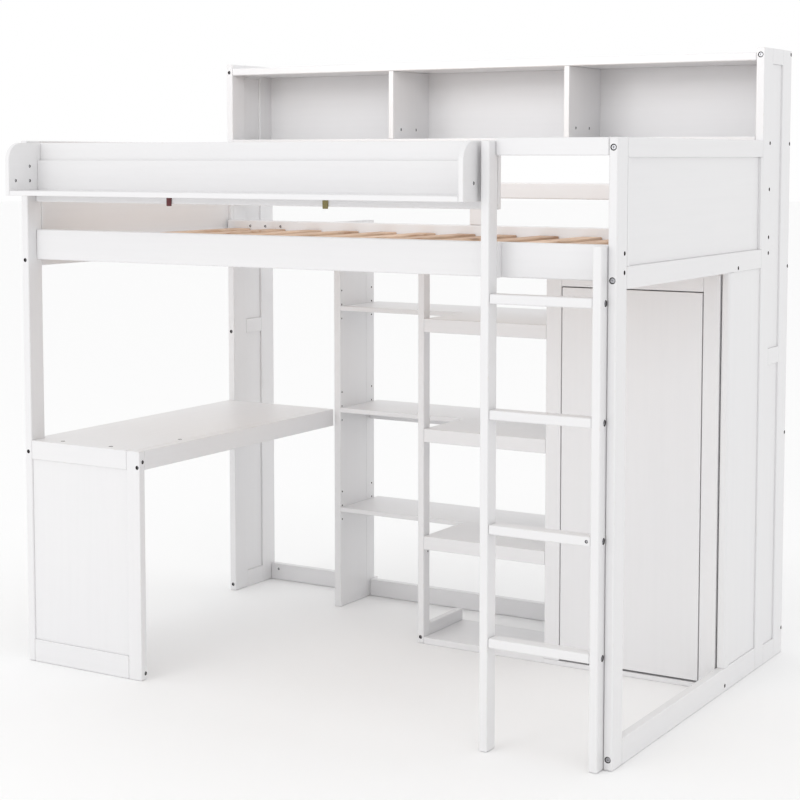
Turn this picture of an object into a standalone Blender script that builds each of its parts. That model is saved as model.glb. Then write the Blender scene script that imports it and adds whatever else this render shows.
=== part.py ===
"""Twin loft bed with desk, guard tray, ladder, shelves, wardrobe and a deep bookcase along the back.

Units are metres, +Z is up. The origin is on the floor under the middle of the outer box.
X runs along the bed, +X to the ladder end. Depths are given from the front face of the front
posts (0) towards the wall, and placed with FRONT_Y.
"""
import bpy
import bmesh
from math import cos, pi, radians, sin

# ---------------------------------------------------------------- driving dimensions
LENGTH = 2.000            # outside, over the end frames
BED_DEPTH = 1.064         # front face of the posts to the bookcase
BOOKCASE_DEPTH = 0.248
TRAY_REACH = 0.105        # tray in front of the posts
COLUMN_TOP = 1.907        # bookcase uprights, the highest point
POST_TOP = 1.628

BOARD = 0.026             # solid frame boards
PANEL = 0.015             # thin boards
GAP = 0.0003              # left between touching pieces
EDGE = 0.0015             # eased edges
POST_DEPTH = 0.063

RAIL_LOW = 1.262          # long side rails
RAIL_TOP = 1.355
RAIL_DEPTH_AT = 0.0367    # front face of the front side rail
END_RAIL_LOW = 1.242
END_RAIL_TOP = 1.300
END_TOP_RAIL_LOW = 1.577
FLOOR_RAIL_TOP = 0.070
SLAT_UNDER = 1.310
SLAT_THICK = 0.018
SLAT_COUNT = 13
SLAT_WIDTH = 0.072
SLAT_CLEAR = 0.003        # between the slat ends and the side rails
SLAT_END_ROOM = 0.030     # between the end guards and the first slat
LEDGER = 0.028            # square batten the slats lie on
LEDGER_SHORT = 0.020
STRAP_DEPTHS = (0.25, 0.83)
STRAP_WIDTH = 0.030
STRAP_THICK = 0.0015
REAR_RAIL_ROOM = 0.009    # between the rear rail and the bookcase

GUARD_LOW = 1.440
GUARD_TOP = 1.621
TRAY_LOW = 1.462
TRAY_BACK_HEIGHT = 0.106
TRAY_CORNER = 0.056
TRAY_END_ROOM = 0.009     # between the left post and the tray
TRAY_LADDER_ROOM = 0.013
GUARD_THICK = 0.018
GUARD_PAST_LADDER = 0.014
REAR_GUARD_LOW = 1.444
REAR_GUARD_TOP = 1.4955
REAR_BLOCK = (0.012, 0.088)

LADDER_FRONT = -0.035
LADDER_BACK = 0.012
STILE_WIDTH = 0.025
LADDER_LEFT_X = 0.628
LADDER_RIGHT_X = 0.948
RUNG_THICK = 0.026
RUNG_FIRST = 0.283
RUNG_STEP = 0.3045
RUNG_COUNT = 4
RUNG_SHORT = 0.002        # rungs stand back from both faces of the stiles
TOP_BAR_HEIGHT = 0.046

DESK_TOP_Z = 0.700
DESK_THICK = 0.020
DESK_WIDTH = 0.454
DESK_RAIL_LOW = 0.641
DESK_LEG_WIDTH = 0.050
DESK_PANEL_SUNK = 0.006

UPRIGHT_X = -0.544        # left face of the bookcase's inner upright
SHELF_TOPS = (0.355, 0.706, 1.062)
SHELF_THICK = 0.016
SHELF_LIP = 0.044
SHELF_LIP_THICK = 0.020
RIGHT_RAIL_FORWARD = 0.030
UPRIGHT_SHORT = 0.025     # the inner upright is this much less deep than the bookcase
BACK_SHELF_RAIL = 0.045   # height of the rail under the middle back shelf
COLUMN_FRONT_STILE = 0.075
COLUMN_REAR_STILE = 0.078
COLUMN_MIDDLE_RAIL = (0.940, 0.990)
COLUMN_TOP_RAIL = 0.047
COLUMN_SUNK = 0.006
LOWER_PANEL_STILE = 0.038
LOWER_PANEL_SUNK = 0.0055
END_PANEL_MARGIN = 0.012

TOWER_FRONT = 0.800       # shelves and wardrobe under the bed, from the posts' front
TOWER_LEFT = -0.050
WARDROBE_LEFT = 0.408
WARDROBE_RIGHT = 0.970
WARDROBE_TOP = 1.236
WARDROBE_SIDE = 0.018
FACE_STILE = 0.051
TOWER_FLOOR = 0.022
SHELF_POST = 0.022
SHELF_POST_DEPTH = 0.040
FLOOR_RAIL_STEP = 0.010   # how much lower than the end rails the shelf rail and panels sit
THIN_BACK = 0.009
WARDROBE_HEADER = 1.184   # underside of the rail over the door
ROD_HEIGHT = 1.120
ROD_RADIUS = 0.0125
DOOR_THICK = 0.016
DOOR_GAP = 0.003
DOOR_LOW = 0.021
HINGE_HEIGHTS = (0.150, 1.060)
HINGE_CUP = (0.045, 0.010, 0.060)
HINGE_INSET = 0.038       # from the door's hung edge to the cup

BOX_FLOOR_TOP = 1.640
TOP_BOARD_TOP = 1.8925
TOP_BOARD = 0.025
DIVIDER_THICK = 0.018
DIVIDER_XS = (-0.312, 0.344)

OVERCUT = 0.010           # how far cutters pass the face they cut
HALF = LENGTH / 2
DEPTH = TRAY_REACH + BED_DEPTH + BOOKCASE_DEPTH
FRONT_Y = TRAY_REACH - DEPTH / 2
BOOKCASE_FRONT = BED_DEPTH + GAP
BOOKCASE_BACK = BED_DEPTH + BOOKCASE_DEPTH


# ---------------------------------------------------------------- helpers
def clear_scene():
    for obj in list(bpy.data.objects):
        bpy.data.objects.remove(obj, do_unlink=True)


def material(name, colour, roughness, metallic=0.0):
    mat = bpy.data.materials.new(name)
    mat.use_nodes = True
    shader = mat.node_tree.nodes["Principled BSDF"]
    shader.inputs["Base Color"].default_value = (*colour, 1.0)
    shader.inputs["Roughness"].default_value = roughness
    shader.inputs["Metallic"].default_value = metallic
    mat.diffuse_color = (*colour, 1.0)
    return mat


def box_mesh(name, size, centre=(0.0, 0.0, 0.0)):
    bm = bmesh.new()
    bmesh.ops.create_cube(bm, size=1.0)
    for vert in bm.verts:
        for axis in range(3):
            vert.co[axis] = vert.co[axis] * size[axis] + centre[axis]
    mesh = bpy.data.meshes.new(name)
    bm.to_mesh(mesh)
    bm.free()
    return mesh


def add_object(name, mesh, location, mat, edge=EDGE):
    obj = bpy.data.objects.new(name, mesh)
    bpy.context.scene.collection.objects.link(obj)
    obj.location = location
    if mat:
        mesh.materials.append(mat)
    if edge:
        bevel = obj.modifiers.new("Eased edges", "BEVEL")
        bevel.width = edge
        bevel.segments = 1
        bevel.limit_method = "ANGLE"
        bevel.angle_limit = radians(60)
    return obj


def board(name, xs, ys, zs, mat, edge=EDGE):
    """A board between two x, two depths and two heights, placed at its own centre."""
    size = (xs[1] - xs[0], ys[1] - ys[0], zs[1] - zs[0])
    centre = (sum(xs) / 2, sum(ys) / 2 + FRONT_Y, sum(zs) / 2)
    return add_object(name, box_mesh(name, size), centre, mat, edge)


def cut(target, xs, ys, zs, operation="DIFFERENCE"):
    """Cut, or join, a box with the target. The box itself is a hidden guide."""
    size = (xs[1] - xs[0], ys[1] - ys[0], zs[1] - zs[0])
    centre = (sum(xs) / 2, sum(ys) / 2 + FRONT_Y, sum(zs) / 2)
    name = target.name + "_cutter"
    cutter = add_object(name, box_mesh(name, size), centre, None, 0.0)
    cutter.hide_render = True
    cutter.display_type = "WIRE"
    boolean = target.modifiers.new("Box " + operation.lower(), "BOOLEAN")
    boolean.operation = operation
    boolean.solver = "EXACT"
    boolean.object = cutter


def recess_both_faces(target, xs, ys, zs, depth):
    """Sink a panel from both faces of an upright that stands across X."""
    low, high = xs
    cut(target, (low - OVERCUT, low + depth), ys, zs)
    cut(target, (high - depth, high + OVERCUT), ys, zs)


def corner_profile(low, high, front, back, radius, steps=8):
    """Side outline (depth, height) of a tray end with its upper front corner rounded."""
    points = [(back, low), (back, high)]
    for i in range(steps + 1):
        angle = pi / 2 + (pi / 2) * i / steps
        points.append((front + radius + radius * cos(angle), high - radius + radius * sin(angle)))
    points.append((front, low))
    return points


def extruded_outline(name, points, xs, mat):
    """A plate across X from an outline of (depth, height) points."""
    bm = bmesh.new()
    verts = [bm.verts.new((xs[0], depth + FRONT_Y, height)) for depth, height in points]
    face = bm.faces.new(verts)
    moved = bmesh.ops.extrude_face_region(bm, geom=[face])["geom"]
    thick = xs[1] - xs[0]
    bmesh.ops.translate(bm, vec=(thick, 0.0, 0.0), verts=[v for v in moved if isinstance(v, bmesh.types.BMVert)])
    bmesh.ops.recalc_face_normals(bm, faces=bm.faces)
    mesh = bpy.data.meshes.new(name)
    bm.to_mesh(mesh)
    bm.free()
    return add_object(name, mesh, (0.0, 0.0, 0.0), mat, 0.0)


# ---------------------------------------------------------------- bed frame
def build_posts(paint):
    board("front_right_post", (HALF - BOARD, HALF), (0, POST_DEPTH), (0, POST_TOP), paint)
    board("front_left_post", (-HALF, -HALF + BOARD), (0, POST_DEPTH), (0, POST_TOP), paint)


def build_end_guard(name, xs, paint):
    """Glued frame-and-panel guard between a front post and the bookcase: rails with a sunk panel."""
    ys = (POST_DEPTH + GAP, BED_DEPTH)
    guard = board(name, xs, ys, (END_RAIL_LOW, POST_TOP), paint)
    sunk = (BOARD - PANEL) / 2
    panel_ys = (ys[0] + END_PANEL_MARGIN, ys[1] - END_PANEL_MARGIN)
    recess_both_faces(guard, xs, panel_ys, (END_RAIL_TOP, END_TOP_RAIL_LOW), sunk)


def build_right_end_below(paint):
    xs = (HALF - BOARD, HALF)
    board("right_floor_rail", xs, (POST_DEPTH + GAP, BED_DEPTH), (0, FLOOR_RAIL_TOP), paint)
    zs = (FLOOR_RAIL_TOP + GAP, END_RAIL_LOW - GAP)
    panel = board("right_lower_panel", xs, (TOWER_FRONT, BED_DEPTH), zs, paint)
    recess_both_faces(panel, xs, (TOWER_FRONT + LOWER_PANEL_STILE, BED_DEPTH + OVERCUT),
                      (zs[0] - OVERCUT, zs[1] + OVERCUT), LOWER_PANEL_SUNK)


def build_side_rails(paint, pine):
    inside = HALF - BOARD - GAP
    rear_back = BED_DEPTH - REAR_RAIL_ROOM
    front_back = RAIL_DEPTH_AT + BOARD
    board("front_side_rail", (-inside, inside), (RAIL_DEPTH_AT, front_back), (RAIL_LOW, RAIL_TOP), paint)
    board("rear_side_rail", (-inside, inside), (rear_back - BOARD, rear_back), (RAIL_LOW, RAIL_TOP), paint)
    xs = (-inside + LEDGER_SHORT, inside - LEDGER_SHORT)
    zs = (SLAT_UNDER - LEDGER, SLAT_UNDER - GAP)
    board("front_slat_ledger", xs, (front_back + GAP, front_back + GAP + LEDGER), zs, pine)
    board("rear_slat_ledger", xs, (rear_back - BOARD - GAP - LEDGER, rear_back - BOARD - GAP), zs, pine)


def build_slats(pine):
    """Pine slats held at an even pitch by two webbing straps along their undersides."""
    front = RAIL_DEPTH_AT + BOARD + SLAT_CLEAR
    back = BED_DEPTH - REAR_RAIL_ROOM - BOARD - SLAT_CLEAR
    span = LENGTH - 2 * BOARD - 2 * SLAT_END_ROOM
    pitch = (span - SLAT_WIDTH) / (SLAT_COUNT - 1)
    bm = bmesh.new()
    for i in range(SLAT_COUNT):
        made = bmesh.ops.create_cube(bm, size=1.0)["verts"]
        x = -span / 2 + SLAT_WIDTH / 2 + i * pitch
        for vert in made:
            vert.co.x = vert.co.x * SLAT_WIDTH + x
            vert.co.y = vert.co.y * (back - front) + (front + back) / 2 + FRONT_Y
            vert.co.z = vert.co.z * SLAT_THICK + SLAT_UNDER + SLAT_THICK / 2
    mesh = bpy.data.meshes.new("slat_roll")
    bm.to_mesh(mesh)
    bm.free()
    slats = add_object("slat_roll", mesh, (0, 0, 0), pine, 0.0)
    reach = span / 2 - STRAP_THICK
    for depth in STRAP_DEPTHS:
        cut(slats, (-reach, reach), (depth, depth + STRAP_WIDTH),
            (SLAT_UNDER - STRAP_THICK, SLAT_UNDER + STRAP_THICK), "UNION")


# ---------------------------------------------------------------- front guard, tray and ladder
def build_guard_and_tray(paint):
    board("front_guard_board", (-HALF + BOARD + GAP, LADDER_LEFT_X + GUARD_PAST_LADDER),
          (RAIL_DEPTH_AT, RAIL_DEPTH_AT + GUARD_THICK), (GUARD_LOW, GUARD_TOP), paint)
    left = -HALF + BOARD + TRAY_END_ROOM
    right = LADDER_LEFT_X - TRAY_LADDER_ROOM
    back = RAIL_DEPTH_AT - GAP
    inner = (left + PANEL + GAP, right - PANEL - GAP)
    board("tray_back", inner, (back - PANEL, back), (TRAY_LOW, TRAY_LOW + TRAY_BACK_HEIGHT), paint)
    board("tray_floor", inner, (-TRAY_REACH, back - PANEL - GAP), (TRAY_LOW, TRAY_LOW + PANEL), paint)
    profile = corner_profile(TRAY_LOW, GUARD_TOP, -TRAY_REACH, back, TRAY_CORNER)
    extruded_outline("tray_left_end", profile, (left, left + PANEL), paint)
    extruded_outline("tray_right_end", profile, (right - PANEL, right), paint)


def build_ladder(paint):
    left = (LADDER_LEFT_X, LADDER_LEFT_X + STILE_WIDTH)
    right = (LADDER_RIGHT_X, LADDER_RIGHT_X + STILE_WIDTH)
    ys = (LADDER_FRONT, LADDER_BACK)
    board("ladder_left_stile", left, ys, (0, GUARD_TOP), paint)
    board("ladder_right_stile", right, ys, (0, RAIL_TOP), paint)
    for i in range(RUNG_COUNT):
        low = RUNG_FIRST + i * RUNG_STEP
        board("ladder_rung_%d" % (i + 1), (left[1] + GAP, right[0] - GAP),
              (LADDER_FRONT + RUNG_SHORT, LADDER_BACK - RUNG_SHORT), (low, low + RUNG_THICK), paint)
    board("ladder_spacer", left, (LADDER_BACK + GAP, RAIL_DEPTH_AT - GAP), (RAIL_LOW, RAIL_TOP), paint)
    board("ladder_top_bar", (left[1] + GAP, HALF - BOARD - GAP), (0, BOARD),
          (POST_TOP - TOP_BAR_HEIGHT, POST_TOP), paint)


# ---------------------------------------------------------------- desk
def build_desk(paint):
    left = -HALF
    right = left + DESK_WIDTH
    low = DESK_TOP_Z - DESK_THICK
    top = board("desk_top", (left, right - BOARD - GAP), (BOARD + GAP, BED_DEPTH - GAP), (low, DESK_TOP_Z), paint)
    cut(top, (left - OVERCUT, left + BOARD + GAP), (-OVERCUT, POST_DEPTH + GAP),
        (low - OVERCUT, DESK_TOP_Z + OVERCUT))
    board("desk_leg", (right - DESK_LEG_WIDTH, right), (0, BOARD), (0, DESK_TOP_Z), paint)
    xs = (left + BOARD + GAP, right - DESK_LEG_WIDTH - GAP)
    panel = board("desk_end_panel", xs, (0, BOARD), (0.0, DESK_TOP_Z), paint)
    for ys in ((-OVERCUT, DESK_PANEL_SUNK), (BOARD - DESK_PANEL_SUNK, BOARD + OVERCUT)):
        cut(panel, (xs[0] - OVERCUT, xs[1] + OVERCUT), ys, (FLOOR_RAIL_TOP, DESK_RAIL_LOW))
    board("desk_side_apron", (right - BOARD, right), (BOARD + GAP, BED_DEPTH - GAP),
          (DESK_RAIL_LOW, DESK_TOP_Z), paint)


# ---------------------------------------------------------------- bookcase along the back
def build_column(name, xs, paint):
    """Frame-and-panel side of the bookcase, glued up as one piece."""
    column = board(name, xs, (BOOKCASE_FRONT, BOOKCASE_BACK), (0, COLUMN_TOP), paint)
    ys = (BOOKCASE_FRONT + COLUMN_FRONT_STILE, BOOKCASE_BACK - COLUMN_REAR_STILE)
    joint_low, joint_top = COLUMN_MIDDLE_RAIL
    recess_both_faces(column, xs, ys, (FLOOR_RAIL_TOP - FLOOR_RAIL_STEP, joint_low), COLUMN_SUNK)
    recess_both_faces(column, xs, ys, (joint_top, COLUMN_TOP - COLUMN_TOP_RAIL), COLUMN_SUNK)


def build_bookcase(paint):
    build_column("left_column", (-HALF, -HALF + BOARD), paint)
    build_column("right_column", (HALF - BOARD, HALF), paint)
    inside = HALF - BOARD - GAP
    ys = (BOOKCASE_FRONT, BOOKCASE_BACK)
    board("top_board", (-inside, inside), ys, (TOP_BOARD_TOP - TOP_BOARD, TOP_BOARD_TOP), paint)
    board("box_floor", (-inside, inside), ys, (BOX_FLOOR_TOP - TOP_BOARD, BOX_FLOOR_TOP), paint)
    box_zs = (BOX_FLOOR_TOP + GAP, TOP_BOARD_TOP - TOP_BOARD - GAP)
    board("box_back_panel", (-inside, inside), (ys[1] - THIN_BACK, ys[1]), box_zs, paint, 0.0)
    for i, x in enumerate(DIVIDER_XS):
        board("box_divider_%d" % (i + 1), (x - DIVIDER_THICK / 2, x + DIVIDER_THICK / 2),
              (ys[0], ys[1] - THIN_BACK - GAP), box_zs, paint)
    upright_back = ys[1] - UPRIGHT_SHORT
    board("inner_upright", (UPRIGHT_X, UPRIGHT_X + BOARD), (ys[0], upright_back), (0, RAIL_TOP), paint)
    rail_top = FLOOR_RAIL_TOP - FLOOR_RAIL_STEP
    board("bookcase_floor_rail_left", (-inside, UPRIGHT_X + BOARD), (upright_back + GAP, ys[1]),
          (0, rail_top), paint)
    bay = (UPRIGHT_X + BOARD + GAP, WARDROBE_LEFT - GAP)
    rail_ys = (ys[1] - RIGHT_RAIL_FORWARD - BOARD, ys[1] - RIGHT_RAIL_FORWARD)
    board("bookcase_floor_rail_right", bay, rail_ys, (0, rail_top), paint)
    for i, top in enumerate(SHELF_TOPS):
        board("back_shelf_%d" % (i + 1), bay, ys, (top - SHELF_THICK, top), paint)
    rail_high = SHELF_TOPS[1] - SHELF_THICK - GAP
    board("back_shelf_rail", bay, rail_ys, (rail_high - BACK_SHELF_RAIL, rail_high), paint)
    guard_back = BED_DEPTH - REAR_RAIL_ROOM
    board("rear_guard_board", (-inside, inside), (guard_back - BOARD, guard_back),
          (REAR_GUARD_LOW, REAR_GUARD_TOP), paint)
    board("rear_guard_block", REAR_BLOCK, (guard_back - BOARD, guard_back),
          (RAIL_TOP + GAP, REAR_GUARD_LOW - GAP), paint)


# ---------------------------------------------------------------- shelves and wardrobe under the bed
def build_tower_shelves(paint):
    post = (TOWER_LEFT, TOWER_LEFT + SHELF_POST)
    post_back = TOWER_FRONT + SHELF_POST_DEPTH
    board("shelf_post", post, (TOWER_FRONT, post_back), (0, WARDROBE_TOP), paint)
    ys = (TOWER_FRONT, BED_DEPTH - GAP)
    xs = (post[1] + GAP, WARDROBE_LEFT - GAP)
    for i, top in enumerate(SHELF_TOPS):
        shelf = board("tower_shelf_%d" % (i + 1), xs, ys, (top - SHELF_LIP, top), paint)
        cut(shelf, (xs[0] - OVERCUT, xs[1] + OVERCUT), (TOWER_FRONT + SHELF_LIP_THICK, BED_DEPTH + OVERCUT),
            (top - SHELF_LIP - OVERCUT, top - SHELF_THICK))
    board("tower_floor_board", xs, ys, (0, TOWER_FLOOR), paint)
    board("shelf_floor_rail", post, (post_back + GAP, BED_DEPTH - GAP),
          (0, FLOOR_RAIL_TOP - FLOOR_RAIL_STEP), paint)


def build_wardrobe(paint, steel):
    back = BOOKCASE_BACK
    front = TOWER_FRONT
    low = PANEL + GAP
    face_back = front + BOARD
    span = (WARDROBE_LEFT, WARDROBE_RIGHT)
    face = board("wardrobe_face_frame", span, (front, face_back), (low, WARDROBE_TOP), paint)
    cut(face, (span[0] + FACE_STILE, span[1] - FACE_STILE), (front - OVERCUT, face_back + OVERCUT),
        (low - OVERCUT, WARDROBE_HEADER))
    depths = (face_back + GAP, back)
    board("wardrobe_left_side", (span[0], span[0] + WARDROBE_SIDE), depths, (low, WARDROBE_TOP), paint)
    board("wardrobe_right_side", (span[1] - WARDROBE_SIDE, span[1]), depths, (low, WARDROBE_TOP), paint)
    board("wardrobe_floor", span, (front, back), (0, PANEL), paint)
    inside = (span[0] + WARDROBE_SIDE + GAP, span[1] - WARDROBE_SIDE - GAP)
    board("wardrobe_top", inside, (face_back + GAP, back - THIN_BACK - GAP),
          (WARDROBE_TOP - PANEL, WARDROBE_TOP), paint)
    board("wardrobe_back", inside, (back - THIN_BACK, back), (low, WARDROBE_TOP), paint, 0.0)
    rod_length = inside[1] - inside[0] - 2 * GAP
    place = (sum(inside) / 2, FRONT_Y + (front + back) / 2, ROD_HEIGHT)
    bar = add_object("wardrobe_rod", rod_mesh("wardrobe_rod", rod_length, ROD_RADIUS), place, steel, 0.0)
    bar.data.shade_smooth()
    bar.data.set_sharp_from_angle(angle=radians(40))


def rod_mesh(name, length, radius, sides=24):
    """A round bar along X."""
    bm = bmesh.new()
    bmesh.ops.create_cone(bm, cap_ends=True, segments=sides, radius1=radius, radius2=radius, depth=length)
    for vert in bm.verts:
        x, y, z = vert.co
        vert.co = (z, y, -x)
    mesh = bpy.data.meshes.new(name)
    bm.to_mesh(mesh)
    bm.free()
    return mesh


def build_door(paint, steel):
    """Wardrobe door, hung at its right edge; its parent empty stands on the hinge axis."""
    low = DOOR_LOW
    high = WARDROBE_HEADER - DOOR_GAP
    left = WARDROBE_LEFT + FACE_STILE + DOOR_GAP
    axis = bpy.data.objects.new("door_axis", None)
    bpy.context.scene.collection.objects.link(axis)
    hung = WARDROBE_RIGHT - FACE_STILE - DOOR_GAP
    axis.location = (hung, TOWER_FRONT + FRONT_Y, low)
    width = hung - left
    size = (width, DOOR_THICK, high - low)
    centre = (-width / 2, DOOR_THICK / 2, (high - low) / 2)
    door = add_object("wardrobe_door", box_mesh("wardrobe_door", size, centre), (0, 0, 0), paint)
    door.parent = axis
    for i, height in enumerate(HINGE_HEIGHTS):
        centre = (-HINGE_INSET - HINGE_CUP[0] / 2, DOOR_THICK + GAP + HINGE_CUP[1] / 2, height - low)
        name = "door_hinge_%d" % (i + 1)
        hinge = add_object(name, box_mesh(name, HINGE_CUP, centre), (0, 0, 0), steel)
        hinge.parent = axis


def main():
    clear_scene()
    paint = material("Satin white paint", (0.86, 0.86, 0.86), 0.38)
    pine = material("Bare pine", (0.72, 0.50, 0.30), 0.65)
    steel = material("Zinc plated steel", (0.62, 0.62, 0.64), 0.30, 1.0)
    build_posts(paint)
    build_end_guard("left_end_guard", (-HALF, -HALF + BOARD), paint)
    build_end_guard("right_end_guard", (HALF - BOARD, HALF), paint)
    build_right_end_below(paint)
    build_side_rails(paint, pine)
    build_slats(pine)
    build_guard_and_tray(paint)
    build_ladder(paint)
    build_desk(paint)
    build_bookcase(paint)
    build_tower_shelves(paint)
    build_wardrobe(paint, steel)
    build_door(paint, steel)


main()
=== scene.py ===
"""Finished look of a white loft bed with a desk, shelves, a wardrobe and a ladder."""
import math
import random

import bmesh
import bpy
from bpy.props import FloatProperty, FloatVectorProperty, IntProperty, PointerProperty
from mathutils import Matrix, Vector


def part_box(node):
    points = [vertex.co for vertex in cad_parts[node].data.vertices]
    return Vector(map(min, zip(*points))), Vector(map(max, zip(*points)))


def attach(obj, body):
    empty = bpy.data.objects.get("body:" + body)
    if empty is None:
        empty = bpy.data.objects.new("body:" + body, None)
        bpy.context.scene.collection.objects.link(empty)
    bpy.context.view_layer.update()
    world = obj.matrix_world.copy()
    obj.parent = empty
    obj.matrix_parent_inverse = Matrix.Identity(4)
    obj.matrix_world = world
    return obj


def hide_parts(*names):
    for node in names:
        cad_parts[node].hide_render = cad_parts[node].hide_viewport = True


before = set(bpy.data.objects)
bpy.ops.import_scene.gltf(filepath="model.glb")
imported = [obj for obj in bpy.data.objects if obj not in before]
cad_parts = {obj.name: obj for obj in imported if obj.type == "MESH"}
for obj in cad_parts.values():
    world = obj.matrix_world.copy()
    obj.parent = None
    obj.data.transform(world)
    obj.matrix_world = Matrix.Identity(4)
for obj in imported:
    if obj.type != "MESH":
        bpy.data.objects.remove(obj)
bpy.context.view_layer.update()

bl_info = {
    "name": "Loft bed finish",
    "version": (1, 0, 0),
    "blender": (4, 5, 0),
    "location": "View3D > Sidebar > Loft bed",
    "description": "Builds the painted boards, pine slats, fittings and studio of a loft bed",
    "category": "Object",
}

FRAME_BODY = "frame"
DOOR_BODY = "door"
AXES = {"x": 0, "y": 1, "z": 2}
LEFT = (-1, 0, 0)
RIGHT = (1, 0, 0)
FRONT = (0, -1, 0)
UP = (0, 0, 1)

# Joints inside glued-up pieces, whose boards are made one by one
SEAM = 0.0002             # fine line between two glued boards
SHEET_EDGE = 0.0006       # rounding of the thin sheets in a frame
END_RAIL_LOW = 1.300      # top of the end guards' bottom rail
END_RAIL_TOP = 1.577      # underside of their top rail
END_STILE = 0.014
END_SHEET = 0.009
DESK_RAIL_LOW = 0.641     # underside of the desk end's top rail
DESK_FOOT = 0.070
DESK_SUNK = 0.006
COLUMN_FRONT_STILE = 0.075
COLUMN_REAR_STILE = 0.078
COLUMN_FOOT = 0.060
COLUMN_HEAD = 0.047
COLUMN_SHEET = 0.014
COLUMN_RAIL = (0.940, 0.990)
UPRIGHT_JOINT = 0.170     # behind the inner upright's front edge
FACE_STILE = 0.051
HEADER_LOW = 1.184
LOWER_STILE = 0.038
LOWER_SUNK = 0.0055
LOWER_ROUND = 0.009
TRAY_CORNER = 0.056
SHELF_BOARD = 0.016
SHELF_LIP = 0.020
NOTCH = (0.0263, 0.0370)  # desk top cut away round the front left post

# Heights of the fittings along the long boards
STRIP_DOWELS = (1.620, 1.480, 1.334, 1.286)
BACK_DOWELS = (1.895, 1.619, 1.237, 0.710, 0.080)
GUARD_DOWELS = (1.334, 1.285)

# Small fittings
SOCKET_HEAD = 0.0056      # radius of the deep-set bolt heads
SOCKET_SUNK = 0.0055
PIN_HOLE = (0.0030, 0.0085)     # radius, depth
SCREW_HOLE = (0.0046, 0.0034)
CAM_HOLE = (0.0068, 0.0040)

# Slats
SLATS = 13
SLAT_WIDTH = 0.072
SLAT_THICK = 0.018
STRAP_THICK = 0.0015
STRAP_WIDTH = 0.030
STRAP_STARTS = (0.1843, 0.7643)


# ------------------------------------------------------------------ settings
class LoftBedFinish(bpy.types.PropertyGroup):
    """Colours and small sizes of the finish."""

    paint_colour: FloatVectorProperty(
        name="Paint", description="Colour of the satin white paint", subtype="COLOR",
        default=(0.80, 0.795, 0.80), min=0.0, max=1.0)
    paint_roughness: FloatProperty(
        name="Paint roughness", description="Lower is shinier", subtype="FACTOR",
        default=0.36, min=0.0, max=1.0)
    pine_colour: FloatVectorProperty(
        name="Pine", description="Light wood between the growth rings", subtype="COLOR",
        default=(0.64, 0.46, 0.34), min=0.0, max=1.0)
    pine_ring_colour: FloatVectorProperty(
        name="Growth rings", description="Dark wood of the growth rings", subtype="COLOR",
        default=(0.47, 0.29, 0.19), min=0.0, max=1.0)
    edge_radius: FloatProperty(
        name="Edge radius", description="Rounding of the solid boards", subtype="DISTANCE",
        unit="LENGTH", default=0.0030, min=0.0005, max=0.008)
    panel_edge_radius: FloatProperty(
        name="Panel edge radius", description="Rounding of the thin boards", subtype="DISTANCE",
        unit="LENGTH", default=0.0015, min=0.0003, max=0.004)
    bolt_head: FloatProperty(
        name="Bolt head", description="Diameter of the sunk bolt heads", subtype="DISTANCE",
        unit="LENGTH", default=0.0135, min=0.006, max=0.03)
    nut_head: FloatProperty(
        name="Cross dowel", description="Diameter of the slotted cross dowels", subtype="DISTANCE",
        unit="LENGTH", default=0.0085, min=0.004, max=0.02)


class LoftBedStudio(bpy.types.PropertyGroup):
    """Floor, light and lens of the studio, and the seed of the slats' variation."""

    floor_colour: FloatVectorProperty(
        name="Floor", description="Colour of the studio floor", subtype="COLOR",
        default=(0.965, 0.965, 0.965), min=0.0, max=1.0)
    ambient: FloatProperty(
        name="Ambient", description="Brightness of the white studio", default=1.0, min=0.0, max=5.0)
    lens: FloatProperty(
        name="Lens", description="Focal length", subtype="DISTANCE_CAMERA", unit="CAMERA",
        default=80.21, min=20.0, max=200.0)
    slat_seed: IntProperty(
        name="Seed", description="Seed of the differences between the slats", default=11, min=0)


def finish():
    return bpy.context.scene.loft_bed_finish


# ------------------------------------------------------------------ node helpers
def add_node(tree, kind, **inputs):
    node = tree.nodes.new(kind)
    for key, value in inputs.items():
        node.inputs[key.replace("_", " ")].default_value = value
    return node


def link(tree, source, target):
    tree.links.new(source, target)


def ramp(tree, source, stops):
    node = tree.nodes.new("ShaderNodeValToRGB")
    band = node.color_ramp
    band.elements[0].position = stops[0][0]
    band.elements[0].color = stops[0][1]
    band.elements[1].position = stops[-1][0]
    band.elements[1].color = stops[-1][1]
    for place, colour in stops[1:-1]:
        band.elements.new(place).color = colour
    link(tree, source, node.inputs["Fac"])
    return node


def grey(value):
    return (value, value, value, 1.0)


def start_material(name):
    mat = bpy.data.materials.new(name)
    mat.use_nodes = True
    return mat, mat.node_tree, mat.node_tree.nodes["Principled BSDF"]


def mapped(tree, scale):
    coord = tree.nodes.new("ShaderNodeTexCoord")
    mapping = tree.nodes.new("ShaderNodeMapping")
    mapping.inputs["Scale"].default_value = scale
    link(tree, coord.outputs["Object"], mapping.inputs["Vector"])
    return mapping.outputs["Vector"]


def noise(tree, vector, scale, detail=3.0, rough=0.55, distort=0.0):
    node = add_node(tree, "ShaderNodeTexNoise", Scale=scale, Detail=detail, Roughness=rough,
                    Distortion=distort)
    link(tree, vector, node.inputs["Vector"])
    return node.outputs["Fac"]


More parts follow.
